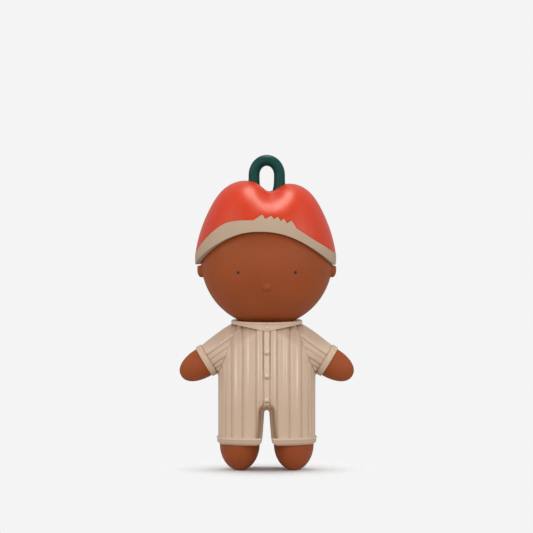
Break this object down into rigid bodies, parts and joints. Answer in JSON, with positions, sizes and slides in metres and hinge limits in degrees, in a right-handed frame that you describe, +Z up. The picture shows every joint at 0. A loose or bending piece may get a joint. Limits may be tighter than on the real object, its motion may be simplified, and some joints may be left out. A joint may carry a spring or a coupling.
{
  "type": "vinyl baby doll",
  "caption": "Small moulded doll with a ball head that turns, arms that swing at raglan shoulders and a lift-off bitten-fruit cap with a hanging loop.",
  "frame": {"origin": "on the floor under the middle of the doll's box, between the feet", "axes": "+Z up, -Y the way the face looks, +X to the doll's left"},
  "size_m": [0.0664, 0.0516, 0.12],
  "materials": {
    "romper": "matte moulded vinyl",
    "skin": "satin moulded vinyl",
    "eye": "gloss",
    "cap_cream": "satin moulded vinyl",
    "cap_red": "satin moulded vinyl",
    "stem": "satin moulded vinyl",
    "peg": "plain moulded plastic"
  },
  "bodies": {
    "torso": {"romper_body": "romper", "foot_left": "skin", "foot_right": "skin"},
    "head": {"head_shell": "skin", "eye_left": "eye", "eye_right": "eye", "neck_peg": "peg"},
    "cap": {"cap_liner": "cap_cream", "cap_peel": "cap_red", "stem_loop": "stem"},
    "arm_left": {"sleeve_left": "romper", "hand_left": "skin", "shoulder_peg_left": "peg"},
    "arm_right": {"sleeve_right": "romper", "hand_right": "skin", "shoulder_peg_right": "peg"}
  },
  "joints": [
    {"name": "head_turn", "type": "hinge", "parent": "torso", "child": "head", "pos_m": [0, -0.00088, 0.058], "axis": [0, 0, 1], "continuous": true},
    {"name": "cap_lift", "type": "slide", "parent": "head", "child": "cap", "axis": [0, 0, 1], "range_m": [0, 0.032]},
    {"name": "arm_left_swing", "type": "hinge", "parent": "torso", "child": "arm_left", "pos_m": [0.01489, -0.00088, 0.04595], "axis": [0.9272, 0, 0.3746], "range_deg": [-120, 120]},
    {"name": "arm_right_swing", "type": "hinge", "parent": "torso", "child": "arm_right", "pos_m": [-0.01489, -0.00088, 0.04595], "axis": [-0.9272, 0, 0.3746], "range_deg": [-120, 120]}
  ]
}
